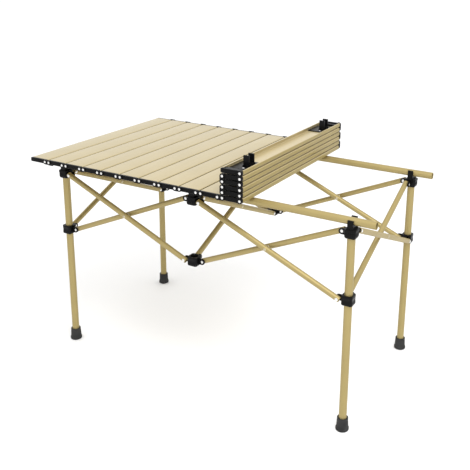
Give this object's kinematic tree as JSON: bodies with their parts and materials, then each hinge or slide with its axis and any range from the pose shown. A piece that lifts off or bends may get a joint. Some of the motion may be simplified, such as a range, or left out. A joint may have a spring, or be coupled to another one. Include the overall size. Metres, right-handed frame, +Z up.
{
  "type": "folding side table",
  "caption": "Folding camping side table: a slatted roll-up top on two loose rails over a scissor frame with tube legs, one end of the top folded back.",
  "frame": {"origin": "on the floor under the middle of the table", "axes": "+X along the rails towards the folded-back end of the top, +Y towards the back, +Z up"},
  "size_m": [0.897, 0.5262, 0.6035],
  "materials": {
    "tube_gold": "satin champagne-gold anodised tube",
    "slat_gold": "pale champagne anodised, fine lengthwise grain",
    "plastic_black": "fine-grained moulded nylon",
    "rubber_grey": "dull moulded rubber",
    "rivet_silver": "bright domed rivet heads"
  },
  "bodies": {
    "front_top_hub": {"front_top_hub": "plastic_black"},
    "front_left_leg": {"front_left_leg": "tube_gold", "front_left_foot": "rubber_grey", "front_left_top_connector": "plastic_black"},
    "front_right_leg": {"front_right_leg": "tube_gold", "front_right_foot": "rubber_grey", "front_right_top_connector": "plastic_black"},
    "back_left_leg": {"back_left_leg": "tube_gold", "back_left_foot": "rubber_grey", "back_left_top_connector": "plastic_black"},
    "back_right_leg": {"back_right_leg": "tube_gold", "back_right_foot": "rubber_grey", "back_right_top_connector": "plastic_black"},
    "front_left_slider": {"front_left_slider": "plastic_black"},
    "front_right_slider": {"front_right_slider": "plastic_black"},
    "back_left_slider": {"back_left_slider": "plastic_black"},
    "back_right_slider": {"back_right_slider": "plastic_black"},
    "front_bottom_hub": {"front_bottom_hub": "plastic_black"},
    "back_bottom_hub": {"back_bottom_hub": "plastic_black"},
    "back_top_hub": {"back_top_hub": "plastic_black"},
    "front_left_outer_brace": {"front_left_outer_brace": "tube_gold"},
    "front_left_inner_brace": {"front_left_inner_brace": "tube_gold"},
    "front_right_outer_brace": {"front_right_outer_brace": "tube_gold"},
    "front_right_inner_brace": {"front_right_inner_brace": "tube_gold"},
    "back_right_outer_brace": {"back_right_outer_brace": "tube_gold"},
    "back_right_inner_brace": {"back_right_inner_brace": "tube_gold"},
    "back_left_outer_brace": {"back_left_outer_brace": "tube_gold"},
    "back_left_inner_brace": {"back_left_inner_brace": "tube_gold"},
    "middle_outer_brace": {"middle_outer_brace": "tube_gold"},
    "middle_inner_brace": {"middle_inner_brace": "tube_gold"},
    "left_end_outer_brace": {"left_end_outer_brace": "tube_gold"},
    "left_end_inner_brace": {"left_end_inner_brace": "tube_gold"},
    "right_end_outer_brace": {"right_end_outer_brace": "tube_gold"},
    "right_end_inner_brace": {"right_end_inner_brace": "tube_gold"},
    "front_rail": {"front_rail": "tube_gold"},
    "back_rail": {"back_rail": "tube_gold"},
    "table_top": {"fixed_slats": "slat_gold", "fixed_end_caps": "plastic_black", "fixed_links": "plastic_black", "fixed_link_rivets": "rivet_silver", "left_rail_clips": "plastic_black"},
    "links_11": {"links_11": "plastic_black"},
    "links_12": {"links_12": "plastic_black"},
    "links_13": {"links_13": "plastic_black"},
    "links_14": {"links_14": "plastic_black"},
    "links_15": {"links_15": "plastic_black"},
    "slat_12": {"slat_12": "slat_gold", "slat_12_end_caps": "plastic_black"},
    "slat_13": {"slat_13": "slat_gold", "slat_13_end_caps": "plastic_black"},
    "slat_14": {"slat_14": "slat_gold", "slat_14_end_caps": "plastic_black"},
    "slat_15": {"slat_15": "slat_gold", "slat_15_end_caps": "plastic_black"},
    "slat_16": {"slat_16": "slat_gold", "slat_16_end_caps": "plastic_black", "right_rail_clips": "plastic_black"}
  },
  "joints": [
    {"name": "frame_fold", "type": "hinge", "parent": "front_top_hub", "child": "middle_outer_brace", "pos_m": [0, -0.1755, 0.472], "axis": [-1, 0, 0], "range_deg": [0, 58]},
    {"name": "middle_cross", "type": "hinge", "parent": "middle_outer_brace", "child": "middle_inner_brace", "pos_m": [0, 0, 0.39625], "axis": [1, 0, 0], "range_deg": [0, 116]},
    {"name": "back_top_hub_pivot", "type": "hinge", "parent": "middle_inner_brace", "child": "back_top_hub", "pos_m": [0, 0.1755, 0.472], "axis": [-1, 0, 0], "range_deg": [0, 58]},
    {"name": "back_bottom_hub_pivot", "type": "hinge", "parent": "middle_outer_brace", "child": "back_bottom_hub", "pos_m": [0, 0.1755, 0.3205], "axis": [1, 0, 0], "range_deg": [0, 58]},
    {"name": "front_left_inner_pivot", "type": "hinge", "parent": "front_top_hub", "child": "front_left_inner_brace", "pos_m": [-0.022, -0.1975, 0.472], "axis": [0, -1, 0], "range_deg": [0, 58]},
    {"name": "front_left_cross", "type": "hinge", "parent": "front_left_inner_brace", "child": "front_left_outer_brace", "pos_m": [-0.1975, -0.1975, 0.39625], "axis": [0, 1, 0], "range_deg": [0, 116]},
    {"name": "front_left_leg_pivot", "type": "hinge", "parent": "front_left_outer_brace", "child": "front_left_leg", "pos_m": [-0.373, -0.1975, 0.472], "axis": [0, -1, 0], "range_deg": [0, 58]},
    {"name": "front_bottom_hub_pivot", "type": "hinge", "parent": "front_left_outer_brace", "child": "front_bottom_hub", "pos_m": [-0.022, -0.1975, 0.3205], "axis": [0, -1, 0], "range_deg": [0, 58]},
    {"name": "front_left_slider_pivot", "type": "hinge", "parent": "front_left_inner_brace", "child": "front_left_slider", "pos_m": [-0.373, -0.1975, 0.3205], "axis": [0, 1, 0], "range_deg": [0, 58]},
    {"name": "front_right_outer_pivot", "type": "hinge", "parent": "front_top_hub", "child": "front_right_outer_brace", "pos_m": [0.022, -0.1975, 0.472], "axis": [0, 1, 0], "range_deg": [0, 58]},
    {"name": "front_right_cross", "type": "hinge", "parent": "front_right_outer_brace", "child": "front_right_inner_brace", "pos_m": [0.1975, -0.1975, 0.39625], "axis": [0, -1, 0], "range_deg": [0, 116]},
    {"name": "front_right_leg_pivot", "type": "hinge", "parent": "front_right_inner_brace", "child": "front_right_leg", "pos_m": [0.373, -0.1975, 0.472], "axis": [0, 1, 0], "range_deg": [0, 58]},
    {"name": "front_right_slider_pivot", "type": "hinge", "parent": "front_right_outer_brace", "child": "front_right_slider", "pos_m": [0.373, -0.1975, 0.3205], "axis": [0, -1, 0], "range_deg": [0, 58]},
    {"name": "back_right_inner_pivot", "type": "hinge", "parent": "back_top_hub", "child": "back_right_inner_brace", "pos_m": [0.022, 0.1975, 0.472], "axis": [0, 1, 0], "range_deg": [0, 58]},
    {"name": "back_right_cross", "type": "hinge", "parent": "back_right_inner_brace", "child": "back_right_outer_brace", "pos_m": [0.1975, 0.1975, 0.39625], "axis": [0, -1, 0], "range_deg": [0, 116]},
    {"name": "back_right_leg_pivot", "type": "hinge", "parent": "back_right_outer_brace", "child": "back_right_leg", "pos_m": [0.373, 0.1975, 0.472], "axis": [0, 1, 0], "range_deg": [0, 58]},
    {"name": "back_right_slider_pivot", "type": "hinge", "parent": "back_right_inner_brace", "child": "back_right_slider", "pos_m": [0.373, 0.1975, 0.3205], "axis": [0, -1, 0], "range_deg": [0, 58]},
    {"name": "back_left_outer_pivot", "type": "hinge", "parent": "back_top_hub", "child": "back_left_outer_brace", "pos_m": [-0.022, 0.1975, 0.472], "axis": [0, -1, 0], "range_deg": [0, 58]},
    {"name": "back_left_cross", "type": "hinge", "parent": "back_left_outer_brace", "child": "back_left_inner_brace", "pos_m": [-0.1975, 0.1975, 0.39625], "axis": [0, 1, 0], "range_deg": [0, 116]},
    {"name": "back_left_leg_pivot", "type": "hinge", "parent": "back_left_inner_brace", "child": "back_left_leg", "pos_m": [-0.373, 0.1975, 0.472], "axis": [0, -1, 0], "range_deg": [0, 58]},
    {"name": "back_left_slider_pivot", "type": "hinge", "parent": "back_left_outer_brace", "child": "back_left_slider", "pos_m": [-0.373, 0.1975, 0.3205], "axis": [0, 1, 0], "range_deg": [0, 58]},
    {"name": "left_end_inner_pivot", "type": "hinge", "parent": "front_left_leg", "child": "left_end_inner_brace", "pos_m": [-0.395, -0.1755, 0.472], "axis": [-1, 0, 0], "range_deg": [0, 58]},
    {"name": "left_end_cross", "type": "hinge", "parent": "left_end_inner_brace", "child": "left_end_outer_brace", "pos_m": [-0.395, 0, 0.39625], "axis": [1, 0, 0], "range_deg": [0, 116]},
    {"name": "right_end_outer_pivot", "type": "hinge", "parent": "front_right_leg", "child": "right_end_outer_brace", "pos_m": [0.395, -0.1755, 0.472], "axis": [-1, 0, 0], "range_deg": [0, 58]},
    {"name": "right_end_cross", "type": "hinge", "parent": "right_end_outer_brace", "child": "right_end_inner_brace", "pos_m": [0.395, 0, 0.39625], "axis": [1, 0, 0], "range_deg": [0, 116]},
    {"name": "table_top_lift", "type": "slide", "parent": "front_top_hub", "child": "table_top", "axis": [0, 0, 1], "range_m": [0, 0.36]},
    {"name": "front_rail_lift", "type": "slide", "parent": "front_top_hub", "child": "front_rail", "axis": [0, 0, 1], "range_m": [0, 0.125]},
    {"name": "back_rail_lift", "type": "slide", "parent": "back_top_hub", "child": "back_rail", "axis": [0, 0, 1], "range_m": [0, 0.125]},
    {"name": "top_unfold", "type": "hinge", "parent": "table_top", "child": "links_11", "pos_m": [0.1624, 0, 0.5173], "axis": [0, 1, 0], "range_deg": [0, 90]},
    {"name": "slat_12_pivot", "type": "hinge", "parent": "links_11", "child": "slat_12", "pos_m": [0.1624, 0, 0.5297], "axis": [0, 1, 0], "range_deg": [0, 90]},
    {"name": "links_12_pivot", "type": "hinge", "parent": "slat_12", "child": "links_12", "pos_m": [0.1186, 0, 0.5297], "axis": [0, -1, 0], "range_deg": [0, 90]},
    {"name": "slat_13_pivot", "type": "hinge", "parent": "links_12", "child": "slat_13", "pos_m": [0.1186, 0, 0.5421], "axis": [0, -1, 0], "range_deg": [0, 90]},
    {"name": "links_13_pivot", "type": "hinge", "parent": "slat_13", "child": "links_13", "pos_m": [0.1624, 0, 0.5421], "axis": [0, 1, 0], "range_deg": [0, 90]},
    {"name": "slat_14_pivot", "type": "hinge", "parent": "links_13", "child": "slat_14", "pos_m": [0.1624, 0, 0.5545], "axis": [0, 1, 0], "range_deg": [0, 90]},
    {"name": "links_14_pivot", "type": "hinge", "parent": "slat_14", "child": "links_14", "pos_m": [0.1186, 0, 0.5545], "axis": [0, -1, 0], "range_deg": [0, 90]},
    {"name": "slat_15_pivot", "type": "hinge", "parent": "links_14", "child": "slat_15", "pos_m": [0.1186, 0, 0.5669], "axis": [0, -1, 0], "range_deg": [0, 90]},
    {"name": "links_15_pivot", "type": "hinge", "parent": "slat_15", "child": "links_15", "pos_m": [0.1624, 0, 0.5669], "axis": [0, 1, 0], "range_deg": [0, 90]},
    {"name": "slat_16_pivot", "type": "hinge", "parent": "links_15", "child": "slat_16", "pos_m": [0.1624, 0, 0.5793], "axis": [0, 1, 0], "range_deg": [0, 90]}
  ],
  "couplings": [
    {"joint": "middle_cross", "follows": "frame_fold", "ratio": 2},
    {"joint": "back_top_hub_pivot", "follows": "frame_fold", "ratio": 1},
    {"joint": "back_bottom_hub_pivot", "follows": "frame_fold", "ratio": 1},
    {"joint": "front_left_inner_pivot", "follows": "frame_fold", "ratio": 1},
    {"joint": "front_left_cross", "follows": "frame_fold", "ratio": 2},
    {"joint": "front_left_leg_pivot", "follows": "frame_fold", "ratio": 1},
    {"joint": "front_bottom_hub_pivot", "follows": "frame_fold", "ratio": 1},
    {"joint": "front_left_slider_pivot", "follows": "frame_fold", "ratio": 1},
    {"joint": "front_right_outer_pivot", "follows": "frame_fold", "ratio": 1},
    {"joint": "front_right_cross", "follows": "frame_fold", "ratio": 2},
    {"joint": "front_right_leg_pivot", "follows": "frame_fold", "ratio": 1},
    {"joint": "front_right_slider_pivot", "follows": "frame_fold", "ratio": 1},
    {"joint": "back_right_inner_pivot", "follows": "frame_fold", "ratio": 1},
    {"joint": "back_right_cross", "follows": "frame_fold", "ratio": 2},
    {"joint": "back_right_leg_pivot", "follows": "frame_fold", "ratio": 1},
    {"joint": "back_right_slider_pivot", "follows": "frame_fold", "ratio": 1},
    {"joint": "back_left_outer_pivot", "follows": "frame_fold", "ratio": 1},
    {"joint": "back_left_cross", "follows": "frame_fold", "ratio": 2},
    {"joint": "back_left_leg_pivot", "follows": "frame_fold", "ratio": 1},
    {"joint": "back_left_slider_pivot", "follows": "frame_fold", "ratio": 1},
    {"joint": "left_end_inner_pivot", "follows": "frame_fold", "ratio": 1},
    {"joint": "left_end_cross", "follows": "frame_fold", "ratio": 2},
    {"joint": "right_end_outer_pivot", "follows": "frame_fold", "ratio": 1},
    {"joint": "right_end_cross", "follows": "frame_fold", "ratio": 2},
    {"joint": "table_top_lift", "follows": "frame_fold", "m_per_rad": 0.35},
    {"joint": "front_rail_lift", "follows": "frame_fold", "m_per_rad": 0.12},
    {"joint": "back_rail_lift", "follows": "frame_fold", "m_per_rad": 0.12},
    {"joint": "slat_12_pivot", "follows": "top_unfold", "ratio": 1},
    {"joint": "links_12_pivot", "follows": "top_unfold", "ratio": 1},
    {"joint": "slat_13_pivot", "follows": "top_unfold", "ratio": 1},
    {"joint": "links_13_pivot", "follows": "top_unfold", "ratio": 1},
    {"joint": "slat_14_pivot", "follows": "top_unfold", "ratio": 1},
    {"joint": "links_14_pivot", "follows": "top_unfold", "ratio": 1},
    {"joint": "slat_15_pivot", "follows": "top_unfold", "ratio": 1},
    {"joint": "links_15_pivot", "follows": "top_unfold", "ratio": 1},
    {"joint": "slat_16_pivot", "follows": "top_unfold", "ratio": 1}
  ]
}
